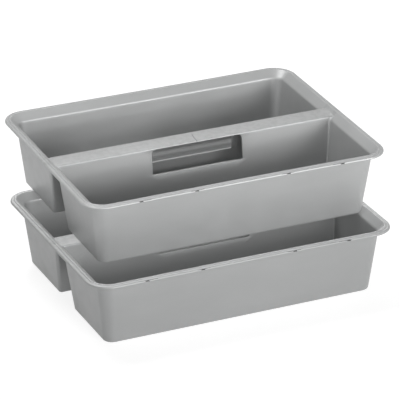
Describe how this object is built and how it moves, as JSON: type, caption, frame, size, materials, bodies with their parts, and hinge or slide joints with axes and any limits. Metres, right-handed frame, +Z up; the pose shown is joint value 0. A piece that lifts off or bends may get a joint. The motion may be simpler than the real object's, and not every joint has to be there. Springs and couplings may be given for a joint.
{
  "type": "tool storage caddy",
  "caption": "Open two-bin storage caddy with a flared rim and a hollow hand-grip bridge, shown as a pair with one caddy standing on the other.",
  "frame": {"origin": "on the floor, under the middle of the whole stack's bounding box", "axes": "+X along the caddies' length to the right, +Y to the rear, +Z up"},
  "size_m": [0.413, 0.3458, 0.1757],
  "materials": {
    "silver_grey_polypropylene": "satin moulded polypropylene with a fine silver-grey metallic pigment"
  },
  "bodies": {
    "lower_caddy": {"lower_front_bin": "silver_grey_polypropylene", "lower_rear_bin": "silver_grey_polypropylene", "lower_bridge": "silver_grey_polypropylene", "lower_rim": "silver_grey_polypropylene"},
    "upper_caddy": {"upper_front_bin": "silver_grey_polypropylene", "upper_rear_bin": "silver_grey_polypropylene", "upper_bridge": "silver_grey_polypropylene", "upper_rim": "silver_grey_polypropylene"}
  },
  "joints": [
    {"name": "lift_upper_caddy", "type": "slide", "parent": "lower_caddy", "child": "upper_caddy", "axis": [0, 0, 1], "range_m": [0, 0.15]}
  ]
}
